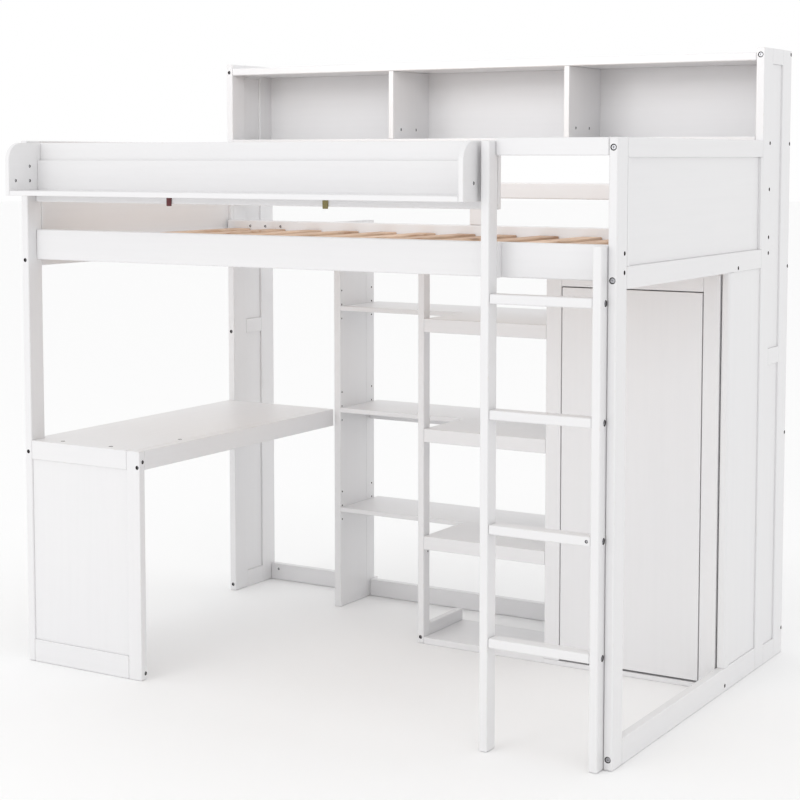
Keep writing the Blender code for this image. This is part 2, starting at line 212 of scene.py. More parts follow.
def mix_colours(tree, factor, first, second, mode="MIX"):
    node = tree.nodes.new("ShaderNodeMix")
    node.data_type = "RGBA"
    node.blend_type = mode
    if isinstance(factor, float):
        node.inputs["Factor"].default_value = factor
    else:
        link(tree, factor, node.inputs["Factor"])
    for socket, value in (("A", first), ("B", second)):
        target = [s for s in node.inputs if s.name == socket and s.type == "RGBA"][0]
        if isinstance(value, tuple):
            target.default_value = value
        else:
            link(tree, value, target)
    return [s for s in node.outputs if s.type == "RGBA"][0]


def bump(tree, height, strength, distance, below=None):
    node = add_node(tree, "ShaderNodeBump", Strength=strength, Distance=distance)
    link(tree, height, node.inputs["Height"])
    if below:
        link(tree, below, node.inputs["Normal"])
    return node.outputs["Normal"]


def along_grain(axis, along, across):
    scale = [across, across, across]
    scale[AXES[axis]] = along
    return tuple(scale)


def times(colour, factor):
    return tuple(c * factor for c in colour[:3]) + (1.0,)


# ------------------------------------------------------------------ materials
def satin_paint(axis):
    """White satin paint over wood: grain showing faintly through, roller texture, rubbed edges."""
    name = "Satin white paint " + axis
    if name in bpy.data.materials:
        return bpy.data.materials[name]
    base = tuple(finish().paint_colour)
    mat, tree, shader = start_material(name)
    streaks = noise(tree, mapped(tree, along_grain(axis, 2.5, 70.0)), 1.0, 4.0, 0.6, 0.3)
    clouds = noise(tree, mapped(tree, (1.0, 1.0, 1.0)), 1.7, 2.0)
    roller = noise(tree, mapped(tree, (1.0, 1.0, 1.0)), 420.0, 2.0)
    pores = noise(tree, mapped(tree, along_grain(axis, 14.0, 420.0)), 1.0, 2.0)
    grain = ramp(tree, streaks, [(0.32, times(base, 0.988)), (0.60, times(base, 1.0))])
    tone = ramp(tree, clouds, [(0.30, (0.985, 0.985, 0.992, 1.0)), (0.70, grey(1.0))])
    colour = mix_colours(tree, 1.0, grain.outputs["Color"], tone.outputs["Color"], "MULTIPLY")
    rub = tree.nodes.new("ShaderNodeAttribute")
    rub.attribute_name = "rub"
    scuffs = noise(tree, mapped(tree, (1.0, 1.0, 1.0)), 38.0, 5.0, 0.7)
    patches = ramp(tree, scuffs, [(0.56, grey(0.0)), (0.68, grey(0.55))])
    worn = tree.nodes.new("ShaderNodeMath")
    worn.operation = "MULTIPLY"
    link(tree, rub.outputs["Fac"], worn.inputs[0])
    link(tree, patches.outputs["Color"], worn.inputs[1])
    edge_tone = (base[0] * 0.93, base[1] * 0.905, base[2] * 0.86, 1.0)
    colour = mix_colours(tree, worn.outputs["Value"], colour, edge_tone)
    link(tree, colour, shader.inputs["Base Color"])
    rough = tree.nodes.new("ShaderNodeMapRange")
    rough.inputs["To Min"].default_value = finish().paint_roughness - 0.05
    rough.inputs["To Max"].default_value = finish().paint_roughness + 0.09
    link(tree, scuffs, rough.inputs["Value"])
    link(tree, rough.outputs["Result"], shader.inputs["Roughness"])
    lower = bump(tree, streaks, 0.05, 0.0008)
    lower = bump(tree, pores, 0.035, 0.0003, lower)
    link(tree, bump(tree, roller, 0.05, 0.0003, lower), shader.inputs["Normal"])
    shader.inputs["Coat Weight"].default_value = 0.12
    shader.inputs["Coat Roughness"].default_value = 0.22
    return mat


def bare_pine(axis):
    """Planed pine: growth rings along the board, darker knots, board to board colour changes."""
    name = "Bare pine " + axis
    if name in bpy.data.materials:
        return bpy.data.materials[name]
    light = tuple(finish().pine_colour)
    dark = tuple(finish().pine_ring_colour)
    mat, tree, shader = start_material(name)
    wander = noise(tree, mapped(tree, along_grain(axis, 1.4, 9.0)), 1.0, 3.0, 0.5, 0.6)
    rings = tree.nodes.new("ShaderNodeMath")
    rings.operation = "MULTIPLY"
    rings.inputs[1].default_value = 15.0
    link(tree, wander, rings.inputs[0])
    wave = tree.nodes.new("ShaderNodeMath")
    wave.operation = "PINGPONG"
    wave.inputs[1].default_value = 1.0
    link(tree, rings.outputs["Value"], wave.inputs[0])
    bands = ramp(tree, wave.outputs["Value"], [(0.25, times(light, 1.0)), (0.80, times(light, 0.82)),
                                               (0.97, times(dark, 1.0))])
    knots = tree.nodes.new("ShaderNodeTexVoronoi")
    knots.inputs["Scale"].default_value = 1.0
    link(tree, mapped(tree, along_grain(axis, 3.4, 8.0)), knots.inputs["Vector"])
    spots = ramp(tree, knots.outputs["Distance"],
                 [(0.05, grey(1.0)), (0.11, grey(0.35)), (0.16, grey(0.0))])
    colour = mix_colours(tree, spots.outputs["Color"], bands.outputs["Color"], times(dark, 0.55))
    board = tree.nodes.new("ShaderNodeAttribute")
    board.attribute_name = "board_tone"
    tones = ramp(tree, board.outputs["Fac"],
                 [(0.0, (0.86, 0.80, 0.74, 1.0)), (1.0, (1.12, 1.12, 1.10, 1.0))])
    colour = mix_colours(tree, 1.0, colour, tones.outputs["Color"], "MULTIPLY")
    link(tree, colour, shader.inputs["Base Color"])
    fibres = noise(tree, mapped(tree, along_grain(axis, 12.0, 380.0)), 1.0, 3.0)
    rough = tree.nodes.new("ShaderNodeMapRange")
    rough.inputs["To Min"].default_value = 0.52
    rough.inputs["To Max"].default_value = 0.72
    link(tree, fibres, rough.inputs["Value"])
    link(tree, rough.outputs["Result"], shader.inputs["Roughness"])
    lower = bump(tree, wave.outputs["Value"], 0.12, 0.0008)
    link(tree, bump(tree, fibres, 0.22, 0.0004, lower), shader.inputs["Normal"])
    return mat


def plated_steel():
    """Zinc plate: fine brushed scratches and cloudy patches."""
    name = "Zinc plated steel finish"
    if name in bpy.data.materials:
        return bpy.data.materials[name]
    mat, tree, shader = start_material(name)
    shader.inputs["Metallic"].default_value = 1.0
    patches = noise(tree, mapped(tree, (1.0, 1.0, 1.0)), 260.0, 3.0)
    scratches = noise(tree, mapped(tree, (60.0, 900.0, 900.0)), 1.0, 3.0)
    tone = ramp(tree, patches, [(0.3, (0.34, 0.34, 0.36, 1.0)), (0.7, (0.58, 0.58, 0.60, 1.0))])
    link(tree, tone.outputs["Color"], shader.inputs["Base Color"])
    rough = tree.nodes.new("ShaderNodeMapRange")
    rough.inputs["To Min"].default_value = 0.24
    rough.inputs["To Max"].default_value = 0.46
    link(tree, scratches, rough.inputs["Value"])
    link(tree, rough.outputs["Result"], shader.inputs["Roughness"])
    link(tree, bump(tree, scratches, 0.15, 0.0002), shader.inputs["Normal"])
    return mat


def moulded_plastic(name, colour):
    """Small moulded plastic piece with a fine spark texture."""
    mat, tree, shader = start_material(name)
    spark = noise(tree, mapped(tree, (1.0, 1.0, 1.0)), 900.0, 3.0)
    tone = ramp(tree, spark, [(0.3, times(colour, 0.8)), (0.7, times(colour, 1.15))])
    link(tree, tone.outputs["Color"], shader.inputs["Base Color"])
    shader.inputs["Roughness"].default_value = 0.42
    link(tree, bump(tree, spark, 0.2, 0.0002), shader.inputs["Normal"])
    return mat


def hole_painted_shade():
    """Near-black walls and bottoms of the fitting holes: painted shade for the dark gaps round the
    fittings, with a fine fibre texture.
    """
    name = "Drilled wood"
    if name in bpy.data.materials:
        return bpy.data.materials[name]
    mat, tree, shader = start_material(name)
    fibres = noise(tree, mapped(tree, (1.0, 1.0, 1.0)), 700.0, 3.0)
    # near-black colour is painted shade, far darker than bare drilled wood
    tone = ramp(tree, fibres, [(0.3, (0.030, 0.026, 0.024, 1.0)), (0.7, (0.075, 0.062, 0.054, 1.0))])
    link(tree, tone.outputs["Color"], shader.inputs["Base Color"])
    shader.inputs["Roughness"].default_value = 0.9
    link(tree, bump(tree, fibres, 0.3, 0.0003), shader.inputs["Normal"])
    return mat


def woven_strap():
    """Cream cotton webbing."""
    name = "Cream webbing"
    if name in bpy.data.materials:
        return bpy.data.materials[name]
    mat, tree, shader = start_material(name)
    weave = tree.nodes.new("ShaderNodeTexChecker")
    weave.inputs["Scale"].default_value = 1.0
    weave.inputs["Color1"].default_value = (0.62, 0.58, 0.50, 1.0)
    weave.inputs["Color2"].default_value = (0.74, 0.70, 0.62, 1.0)
    link(tree, mapped(tree, (500.0, 500.0, 500.0)), weave.inputs["Vector"])
    link(tree, weave.outputs["Color"], shader.inputs["Base Color"])
    shader.inputs["Roughness"].default_value = 0.85
    link(tree, bump(tree, weave.outputs["Fac"], 0.4, 0.0004), shader.inputs["Normal"])
    return mat


# ------------------------------------------------------------------ mesh helpers
def soften(obj):
    """Smooth shading that keeps flat faces flat and holes crisp."""
    obj.data.shade_smooth()
    obj.data.set_sharp_from_angle(angle=math.radians(38))
    if "Even shading" not in obj.modifiers:
        even = obj.modifiers.new("Even shading", "WEIGHTED_NORMAL")
        even.weight = 100
        even.keep_sharp = True


def object_from(name, bm, mats, body, replaced=()):
    """Turns a bmesh into a named piece that rides on its body."""
    mesh = bpy.data.meshes.new(name)
    bm.to_mesh(mesh)
    bm.free()
    obj = bpy.data.objects.new(name, mesh)
    bpy.context.scene.collection.objects.link(obj)
    for mat in mats:
        mesh.materials.append(mat)
    soften(obj)
    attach(obj, body)
    if replaced:
        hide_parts(*replaced)
    return obj


def add_box(bm, low, high, radius, steps=3, mat=0):
    """Adds a board with rounded edges, and marks its edges as the places that get rubbed."""
    low = Vector(low)
    high = Vector(high)
    made = bmesh.ops.create_cube(bm, size=1.0)["verts"]
    size = high - low
    centre = (high + low) / 2
    for vert in made:
        vert.co = Vector((vert.co.x * size.x, vert.co.y * size.y, vert.co.z * size.z)) + centre
    faces = {face for vert in made for face in vert.link_faces}
    for face in faces:
        face.material_index = mat
    if radius > 0:
        flat = set(faces)
        edges = list({edge for vert in made for edge in vert.link_edges})
        done = bmesh.ops.bevel(bm, geom=edges, offset=radius, segments=steps, profile=0.5,
                               affect="EDGES", clamp_overlap=True, material=mat)
        rounded = set(done["faces"])
        layer = bm.loops.layers.float.get("rub") or bm.loops.layers.float.new("rub")
        for face in rounded:
            small = min(edge.calc_length() for edge in face.edges) < radius * 1.2
            for loop in face.loops:
                loop[layer] = 1.0 if small and face not in flat else 0.0
        return rounded
    return faces


def turned_disc(bm, centre, axis, profile, sides=20, mat=0):
    """Adds a turned piece from (radius, height along the axis) steps; the first and last close it."""
    turn = Vector((0, 0, 1)).rotation_difference(Vector(axis)).to_matrix()
    rings = []
    for radius, height in profile:
        if radius <= 0:
            rings.append([bm.verts.new(turn @ Vector((0, 0, height)) + Vector(centre))])
            continue
        ring = []
        for i in range(sides):
            angle = 2 * math.pi * i / sides
            point = Vector((radius * math.cos(angle), radius * math.sin(angle), height))
            ring.append(bm.verts.new(turn @ point + Vector(centre)))
        rings.append(ring)
    for lower, upper in zip(rings, rings[1:]):
        for i in range(sides):
            j = (i + 1) % sides
            quad = [lower[i % len(lower)], lower[j % len(lower)],
                    upper[j % len(upper)], upper[i % len(upper)]]
            corners = list(dict.fromkeys(quad))
            if len(corners) > 2:
                bm.faces.new(corners).material_index = mat
    if len(rings[0]) > 1:
        bm.faces.new(list(reversed(rings[0]))).material_index = mat
    if len(rings[-1]) > 1:
        bm.faces.new(rings[-1]).material_index = mat


def drill(obj, holes):
    """Cuts round holes (centre on the face, outward axis, radius, depth) into a piece, all at once."""
    if not holes:
        return
    bm = bmesh.new()
    for centre, axis, radius, depth in holes:
        turned_disc(bm, centre, axis, [(radius, -depth), (radius, 0.002)], 18, 1)
    bmesh.ops.recalc_face_normals(bm, faces=bm.faces)
    mesh = bpy.data.meshes.new("drill")
    bm.to_mesh(mesh)
    bm.free()
    # the hole walls and bottoms get the near-black painted shade material
    obj.data.materials.append(hole_painted_shade())
    tool = bpy.data.objects.new("drill", mesh)
    bpy.context.scene.collection.objects.link(tool)
    obj.modifiers.clear()
    cutter = obj.modifiers.new("Drill", "BOOLEAN")
    cutter.operation = "DIFFERENCE"
    cutter.solver = "EXACT"
    cutter.object = tool
    graph = bpy.context.evaluated_depsgraph_get()
    cut_mesh = bpy.data.meshes.new_from_object(obj.evaluated_get(graph))
    old = obj.data
    obj.modifiers.clear()
    obj.data = cut_mesh
    cut_mesh.name = obj.name
    bpy.data.meshes.remove(old)
    bpy.data.objects.remove(tool, do_unlink=True)
    bpy.data.meshes.remove(mesh)
    soften(obj)


def bolt_head(bm, centre, axis, radius, sunk=0.0012):
    """Sunk bolt head with a chamfered rim and a hexagon socket."""
    socket = radius * 0.42
    profile = [(radius, -sunk - 0.0048), (radius, -sunk - 0.0008), (radius * 0.88, -sunk),
               (socket * 1.12, -sunk), (socket, -sunk - 0.0004), (socket, -sunk - 0.0036),
               (0.0, -sunk - 0.0038)]
    turned_disc(bm, centre, axis, profile, 18)


def cross_dowel(bm, centre, axis, radius):
    """Sunk end of a cross dowel with a screwdriver slot."""
    sunk = 0.0040
    turned_disc(bm, centre, axis, [(radius, -0.0085), (radius, -sunk - 0.0004), (radius * 0.9, -sunk),
                                   (0.0, -sunk)], 16)
    side = Vector(axis).orthogonal().normalized()
    other = Vector(axis).cross(side)
    for sign in (-1, 1):
        corners = []
        for a, b, c in ((-1, -1, 0), (1, -1, 0), (1, 1, 0), (-1, 1, 0),
                        (-1, -1, 1), (1, -1, 1), (1, 1, 1), (-1, 1, 1)):
            spot = Vector(centre) + side * (a * radius * 0.85)
            spot += other * (sign * radius * 0.52 + b * radius * 0.32)
            spot += Vector(axis) * (-sunk - 0.0006 + c * 0.0012)
            corners.append(bm.verts.new(spot))
        for loop in ((3, 2, 1, 0), (4, 5, 6, 7), (0, 1, 5, 4), (1, 2, 6, 5), (2, 3, 7, 6), (3, 0, 4, 7)):
            bm.faces.new([corners[i] for i in loop])


def fit_hardware(board, fittings, body=FRAME_BODY):
    """Drills a board and seats its fittings. Each fitting is (kind, centre, axis)."""
    bolt_radius = finish().bolt_head / 2
    nut_radius = finish().nut_head / 2
    holes = []
    bm = bmesh.new()
    for kind, centre, axis in fittings:
        if kind == "bolt":
            holes.append((centre, axis, bolt_radius + 0.0020, 0.0070))
            bolt_head(bm, centre, axis, bolt_radius)
        elif kind == "socket":
            holes.append((centre, axis, SOCKET_HEAD + 0.0006, 0.0110))
            bolt_head(bm, centre, axis, SOCKET_HEAD, SOCKET_SUNK)
        elif kind == "dowel":
            holes.append((centre, axis, nut_radius + 0.0016, 0.0090))
            cross_dowel(bm, centre, axis, nut_radius)
        elif kind == "screw":
            holes.append((centre, axis, *SCREW_HOLE))
            turned_disc(bm, centre, axis, [(0.0034, -0.0028), (0.0034, -0.0016), (0.0024, -0.0006),
                                           (0.0009, -0.0004), (0.0006, -0.0016), (0.0, -0.0018)], 14)
        elif kind == "pin":
            holes.append((centre, axis, *PIN_HOLE))
        elif kind == "cam":
            holes.append((centre, axis, *CAM_HOLE))
            turned_disc(bm, centre, axis, [(0.0060, -0.0036), (0.0060, -0.0016), (0.0050, -0.0010),
                                           (0.0022, -0.0010), (0.0016, -0.0026), (0.0, -0.0028)], 18)
        else:
            raise RuntimeError("Unknown fitting " + kind)
    drill(board, holes)
    if not bm.verts:
        bm.free()
        return
    object_from(board.name + "_fittings", bm, [plated_steel()], body)


def board(name, low, high, grain, radius=None, body=FRAME_BODY, replaced=(), fittings=(), steps=3):
    """A painted board with rounded edges."""
    if radius is None:
        radius = finish().edge_radius
    bm = bmesh.new()
    add_box(bm, low, high, radius, steps)
    obj = object_from(name, bm, [satin_paint(grain)], body, replaced)
    if fittings:
        fit_hardware(obj, fittings, body)
    return obj


def node_board(node, grain, radius=None, body=FRAME_BODY, fittings=(), steps=3):
    """A rounded board in the place of a plain one."""
    low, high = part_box(node)
    return board(node + "_painted", low, high, grain, radius, body, (node,), fittings, steps)


def rounded_corner(centre, radius, start, steps=10):
    """Points of a quarter circle, turning anticlockwise from the start angle in degrees."""
    points = []
    for i in range(steps + 1):
        angle = math.radians(start + 90 * i / steps)
        points.append((centre[0] + radius * math.cos(angle), centre[1] + radius * math.sin(angle)))
    return points


def plate(name, outline, axis, span, radius, grain, replaced, fittings=()):
    """A board cut to an outline, given over its two other axes, and as thick as its span along the axis."""
    bm = bmesh.new()
    verts = []
    for first, second in outline:
        spot = [first, second]
        spot.insert(AXES[axis], span[0])
        verts.append(bm.verts.new(spot))
    face = bm.faces.new(verts)
    moved = bmesh.ops.extrude_face_region(bm, geom=[face])["geom"]
    lift = [0.0, 0.0, 0.0]
    lift[AXES[axis]] = span[1] - span[0]
    bmesh.ops.translate(bm, vec=lift, verts=[v for v in moved if isinstance(v, bmesh.types.BMVert)])
    bmesh.ops.recalc_face_normals(bm, faces=bm.faces)
    rims = [e for e in bm.edges if e.calc_face_angle(0) > math.radians(40)]
    done = bmesh.ops.bevel(bm, geom=rims, offset=radius, segments=3, profile=0.5, affect="EDGES")
    layer = bm.loops.layers.float.new("rub")
    for rim in done["faces"]:
        for loop in rim.loops:
            loop[layer] = 1.0
    obj = object_from(name, bm, [satin_paint(grain)], FRAME_BODY, replaced)
    if fittings:
        fit_hardware(obj, fittings)
    return obj


# ------------------------------------------------------------------ bed
class LOFTBED_OT_posts(bpy.types.Operator):
    """Front posts with their sunk bolts"""

    bl_idname = "loftbed.posts"
    bl_label = "Front posts"

    def execute(self, context):
        low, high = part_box("front_right_post")
        front = [("bolt", ((low.x + high.x) / 2, low.y, z), FRONT) for z in (1.6025, 1.267, 0.029)]
        side = [("dowel", (high.x, low.y + 0.046, z), RIGHT) for z in GUARD_DOWELS]
        node_board("front_right_post", "z", 0.0045, fittings=front + side)
        low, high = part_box("front_left_post")
        front = [("socket", ((low.x + high.x) / 2, low.y, z), FRONT) for z in (1.261, 0.664)]
        side = [("dowel", (low.x, low.y + 0.046, z), LEFT) for z in GUARD_DOWELS]
        node_board("front_left_post", "z", 0.0045, fittings=front + side)
        return {"FINISHED"}


class LOFTBED_OT_end_guards(bpy.types.Operator):
    """Frame-and-panel guards at both ends"""

    bl_idname = "loftbed.end_guards"
    bl_label = "End guards"

    def execute(self, context):
        for side, out in (("left", -1), ("right", 1)):
            node = side + "_end_guard"
            low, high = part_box(node)
            face = high.x if out > 0 else low.x
            middle = (low.x + high.x) / 2
            fits = [("dowel", (face, high.y - 0.197, 1.253), (out, 0, 0))]
            board(node + "_bottom_rail", low, (high.x, high.y, END_RAIL_LOW), "y", replaced=(node,),
                  fittings=fits)
            board(node + "_top_rail", (low.x, low.y, END_RAIL_TOP), high, "y", replaced=(node,))
            stiles = (("front", low.y, low.y + END_STILE), ("rear", high.y - END_STILE, high.y))
            for end, start, stop in stiles:
                board(node + "_" + end + "_stile", (low.x, start, END_RAIL_LOW + SEAM),
                      (high.x, stop, END_RAIL_TOP - SEAM), "z", 0.0015, replaced=(node,))
            half = END_SHEET / 2
            board(node + "_panel", (middle - half, low.y + END_STILE + 0.0005, END_RAIL_LOW + 0.0003),
                  (middle + half, high.y - END_STILE - 0.0005, END_RAIL_TOP - 0.0003), "y",
                  SHEET_EDGE, replaced=(node,))
        return {"FINISHED"}


class LOFTBED_OT_right_end(bpy.types.Operator):
    """Floor rail and panel under the right end guard"""

    bl_idname = "loftbed.right_end"
    bl_label = "Right end below"

    def execute(self, context):
        low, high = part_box("right_floor_rail")
        fits = [("dowel", (high.x, high.y - 0.2565, 0.018), RIGHT)]
        node_board("right_floor_rail", "y", fittings=fits)
        low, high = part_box("right_lower_panel")
        outline = [(low.x, low.y + LOWER_STILE)]
        outline += rounded_corner((low.x + LOWER_ROUND, low.y + LOWER_ROUND), LOWER_ROUND, 180)
        outline += rounded_corner((high.x - LOWER_ROUND, low.y + LOWER_ROUND), LOWER_ROUND, 270)
        outline.append((high.x, low.y + LOWER_STILE))
        plate("right_lower_panel_stile", outline, "z", (low.z, high.z), 0.0012, "z", ("right_lower_panel",))
        board("right_lower_panel_sheet", (low.x + LOWER_SUNK, low.y + LOWER_STILE + SEAM, low.z),
              (high.x - LOWER_SUNK, high.y, high.z), "z", SHEET_EDGE, replaced=("right_lower_panel",))
        return {"FINISHED"}


class LOFTBED_OT_side_rails(bpy.types.Operator):
    """Long side rails and the battens that carry the slats"""

    bl_idname = "loftbed.side_rails"
    bl_label = "Side rails"

    def execute(self, context):
        node_board("front_side_rail", "x", 0.004)
        low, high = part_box("rear_side_rail")
        marks = [("screw", (low.x + 0.10 + 0.065 * i, low.y, high.z - 0.020), FRONT) for i in range(3)]
        node_board("rear_side_rail", "x", 0.004, fittings=marks)
        for node in ("front_slat_ledger", "rear_slat_ledger"):
            low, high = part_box(node)
            bm = bmesh.new()
            add_box(bm, low, high, 0.0015, 2)
            object_from(node + "_batten", bm, [bare_pine("x")], FRAME_BODY, (node,))
        return {"FINISHED"}


class LOFTBED_OT_slats(bpy.types.Operator):
    """Pine slats, each a little bowed, stapled to two webbing straps"""

    bl_idname = "loftbed.slats"
    bl_label = "Slats"

    def execute(self, context):
        low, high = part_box("slat_roll")
        under = low.z + STRAP_THICK
        pitch = (high.x - low.x - SLAT_WIDTH) / (SLATS - 1)
        draw = random.Random(context.scene.loft_bed_studio.slat_seed)
        steps = 14
        section = [(-0.5, 0.15), (-0.5, 0.85), (-0.47, 0.97), (-0.43, 1.0), (0.43, 1.0), (0.47, 0.97),
                   (0.5, 0.85), (0.5, 0.15), (0.47, 0.03), (0.43, 0.0), (-0.43, 0.0), (-0.47, 0.03)]
        bm = bmesh.new()
        tone = bm.loops.layers.float.new("board_tone")
        for i in range(SLATS):
            x = low.x + SLAT_WIDTH / 2 + i * pitch
            bow = draw.uniform(-0.0008, 0.0016)
            lean = draw.uniform(-0.0012, 0.0012)
            shade = draw.random()
            rings = []
            for k in range(steps + 1):
                t = k / steps
                y = low.y + (high.y - low.y) * t
                lift = bow * math.sin(math.pi * t)
                ring = []
                for a, b in section:
                    z = under + b * (SLAT_THICK - 0.0016) + lift * b + lean * a * math.sin(math.pi * t)
                    ring.append(bm.verts.new((x + a * SLAT_WIDTH, y, max(z, under) if b < 0.5 else z)))
                rings.append(ring)
            faces = []
            for first, second in zip(rings, rings[1:]):
                for j in range(len(section)):
                    n = (j + 1) % len(section)
                    faces.append(bm.faces.new([first[j], first[n], second[n], second[j]]))
            faces.append(bm.faces.new(list(reversed(rings[0]))))
            faces.append(bm.faces.new(rings[-1]))
            for face in faces:
                for loop in face.loops:
                    loop[tone] = shade
        bmesh.ops.recalc_face_normals(bm, faces=bm.faces)
        object_from("pine_slats", bm, [bare_pine("y")], FRAME_BODY, ("slat_roll",))
        bm = bmesh.new()
        for start in STRAP_STARTS:
            add_box(bm, (low.x + 0.004, low.y + start, low.z),
                    (high.x - 0.004, low.y + start + STRAP_WIDTH, under), 0.0003, 1)
        object_from("slat_straps", bm, [woven_strap()], FRAME_BODY, ("slat_roll",))
        bm = bmesh.new()
        for i in range(SLATS):
            x = low.x + SLAT_WIDTH / 2 + i * pitch
            for start in STRAP_STARTS:
                for side in (-0.018, 0.018):
                    y = low.y + start + STRAP_WIDTH / 2
                    add_box(bm, (x + side - 0.0055, y - 0.0006, low.z - 0.0006),
                            (x + side + 0.0055, y + 0.0006, low.z + 0.0002), 0.0003, 1)
        object_from("slat_staples", bm, [plated_steel()], FRAME_BODY)
        return {"FINISHED"}


# ------------------------------------------------------------------ guard, tray, ladder
class LOFTBED_OT_guard_tray(bpy.types.Operator):
    """Front guard board and the tray on its outside"""

    bl_idname = "loftbed.guard_tray"
    bl_label = "Guard and tray"

    def execute(self, context):
        node_board("front_guard_board", "x", 0.004)
        thin = finish().panel_edge_radius
        node_board("tray_back", "x", thin)
        node_board("tray_floor", "x", 0.0025)
        ends = (("tray_left_end", ((0.030, 0.045), (0.092, 0.044), (0.092, 0.088))),
                ("tray_right_end", ((0.0566, 0.048),)))
        for node, places in ends:
            low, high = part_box(node)
            marks = [("screw", (high.x, low.y + y, low.z + z), RIGHT) for y, z in places]
            outline = [(low.y, low.z), (high.y, low.z), (high.y, high.z)]
            outline += rounded_corner((low.y + TRAY_CORNER, high.z - TRAY_CORNER), TRAY_CORNER, 90, 14)
            plate(node + "_painted", outline, "x", (low.x, high.x), 0.0018, "y", (node,), marks)
        return {"FINISHED"}


class LOFTBED_OT_ladder(bpy.types.Operator):
    """Ladder stiles, rungs, spacer and top bar"""

    bl_idname = "loftbed.ladder"
    bl_label = "Ladder"

    def execute(self, context):
        heights = [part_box("ladder_rung_%d" % (i + 1))[0].z + 0.013 for i in range(4)]
        low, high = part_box("ladder_right_stile")
        depth = low.y + 0.0275
        bolts = [("bolt", (high.x, depth, z), RIGHT) for z in heights]
        node_board("ladder_right_stile", "z", 0.0035, fittings=bolts)
        low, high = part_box("ladder_left_stile")
        bolts = [("bolt", (low.x, depth, z), LEFT) for z in heights]
        node_board("ladder_left_stile", "z", 0.0035, fittings=bolts)
        for i in range(4):
            low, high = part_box("ladder_rung_%d" % (i + 1))
            fits = [("screw", (high.x - 0.0107, low.y, (low.z + high.z) / 2), FRONT)] if i == 1 else ()
            node_board("ladder_rung_%d" % (i + 1), "x", 0.0045, fittings=fits, steps=4)
        node_board("ladder_spacer", "z", 0.0015)
        node_board("ladder_top_bar", "x")
        return {"FINISHED"}


# ------------------------------------------------------------------ desk
class LOFTBED_OT_desk(bpy.types.Operator):
    """Desk top, leg, end panel and apron"""

    bl_idname = "loftbed.desk"
    bl_label = "Desk"

    def execute(self, context):
        low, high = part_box("desk_top")
        notch_x = low.x + NOTCH[0]
        notch_y = low.y + NOTCH[1]
        outline = [(low.x, notch_y), (notch_x, notch_y), (notch_x, low.y), (high.x, low.y),
                   (high.x, high.y), (low.x, high.y)]
        cams = [("cam", (x, y, high.z), UP) for x, y in ((-0.877, -0.5675), (-0.685, -0.5675),
                                                                (-0.590, -0.3505))]
        plate("desk_top_painted", outline, "z", (low.z, high.z), 0.0012, "y", ("desk_top",), cams)
        low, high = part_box("desk_leg")
        fits = [("socket", (high.x - 0.0085, low.y, 0.651), FRONT),
                ("dowel", (high.x, low.y + 0.0155, 0.6665), RIGHT),
                ("dowel", (high.x, low.y + 0.0187, 0.020), RIGHT)]
        node_board("desk_leg", "z", fittings=fits)
        low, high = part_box("desk_end_panel")
        owner = ("desk_end_panel",)
        board("desk_end_top_rail", (low.x, low.y, DESK_RAIL_LOW), high, "x", replaced=owner)
        board("desk_end_bottom_rail", low, (high.x, high.y, DESK_FOOT), "x", replaced=owner)
        board("desk_end_sheet", (low.x, low.y + DESK_SUNK, DESK_FOOT + SEAM),
              (high.x, high.y - DESK_SUNK, DESK_RAIL_LOW - SEAM), "z", SHEET_EDGE, replaced=owner)
        node_board("desk_side_apron", "y")
        return {"FINISHED"}


# ------------------------------------------------------------------ bookcase
def frame_and_panel(node, out, side_fittings, front_fittings):
    """A bookcase side: two stiles, three rails and two sunk panels.

    Side fittings are (kind, distance behind the front edge, height), front fittings (kind, height).
    """
    low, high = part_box(node)
    front = low.y + COLUMN_FRONT_STILE
    rear = high.y - COLUMN_REAR_STILE
    head = high.z - COLUMN_HEAD
    mid = (low.x + high.x) / 2
    face = high.x if out > 0 else low.x
    side = [(kind, (face, low.y + y, z), (out, 0, 0)) for kind, y, z in side_fittings]
    edge = [(kind, (mid, low.y, z), FRONT) for kind, z in front_fittings]
    board(node + "_front_stile", low, (high.x, front, high.z), "z", replaced=(node,),
          fittings=[fitting for fitting in side if fitting[1][1] < front] + edge)
    board(node + "_rear_stile", (low.x, rear, low.z), high, "z", replaced=(node,),
          fittings=[fitting for fitting in side if fitting[1][1] > rear])
    for i, zs in enumerate(((low.z, COLUMN_FOOT), COLUMN_RAIL, (head, high.z))):
        board("%s_rail_%d" % (node, i + 1), (low.x, front + SEAM, zs[0]), (high.x, rear - SEAM, zs[1]), "y",
              0.0015, replaced=(node,))
    half = COLUMN_SHEET / 2
    for i, zs in enumerate(((COLUMN_FOOT, COLUMN_RAIL[0]), (COLUMN_RAIL[1], head))):
        board("%s_sheet_%d" % (node, i + 1), (mid - half, front + SEAM, zs[0] + SEAM),
              (mid + half, rear - SEAM, zs[1] - SEAM), "z", SHEET_EDGE, replaced=(node,))


